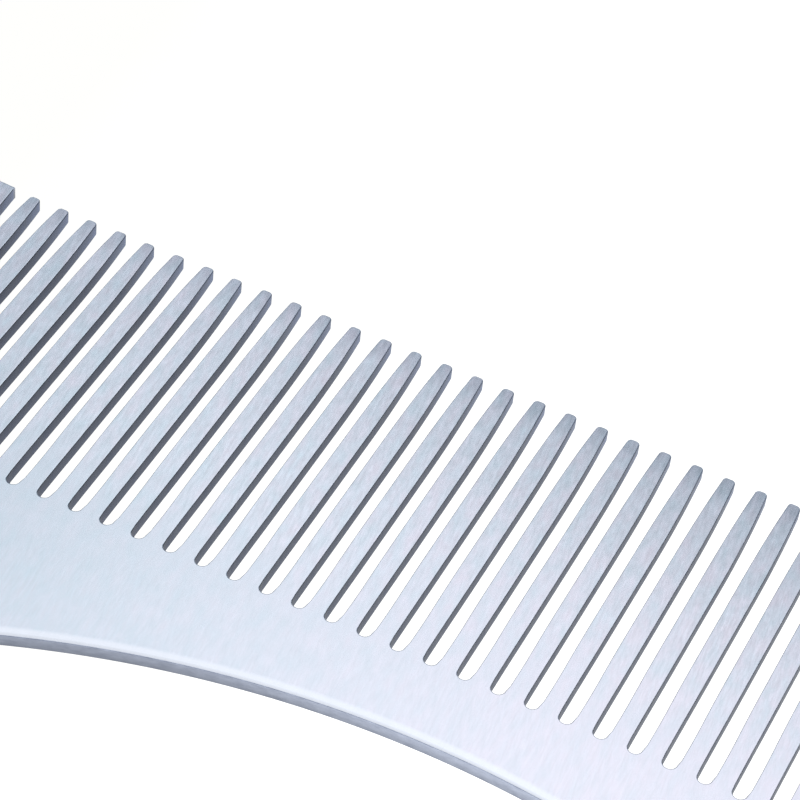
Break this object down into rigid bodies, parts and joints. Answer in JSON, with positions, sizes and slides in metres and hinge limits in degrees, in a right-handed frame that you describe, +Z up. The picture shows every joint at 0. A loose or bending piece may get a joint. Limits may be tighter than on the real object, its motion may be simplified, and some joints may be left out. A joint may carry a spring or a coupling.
{
  "type": "flat steel cutting comb",
  "caption": "Flat brushed steel barber's comb: straight tapered teeth with blunt tips, a wide guard at each end and a hollow curved back.",
  "frame": {"origin": "centre of the underside's bounding rectangle, on the surface that the comb lies on", "axes": "+X along the comb from end to end, +Y from the hollow back to the tooth tips, +Z up out of the upper face"},
  "size_m": [0.13, 0.0584, 0.0013],
  "materials": {
    "steel": "fine straight-grained brushed stainless steel, grain along the teeth, edges softly rounded"
  },
  "bodies": {
    "root": {"comb_plate": "steel"}
  },
  "joints": []
}
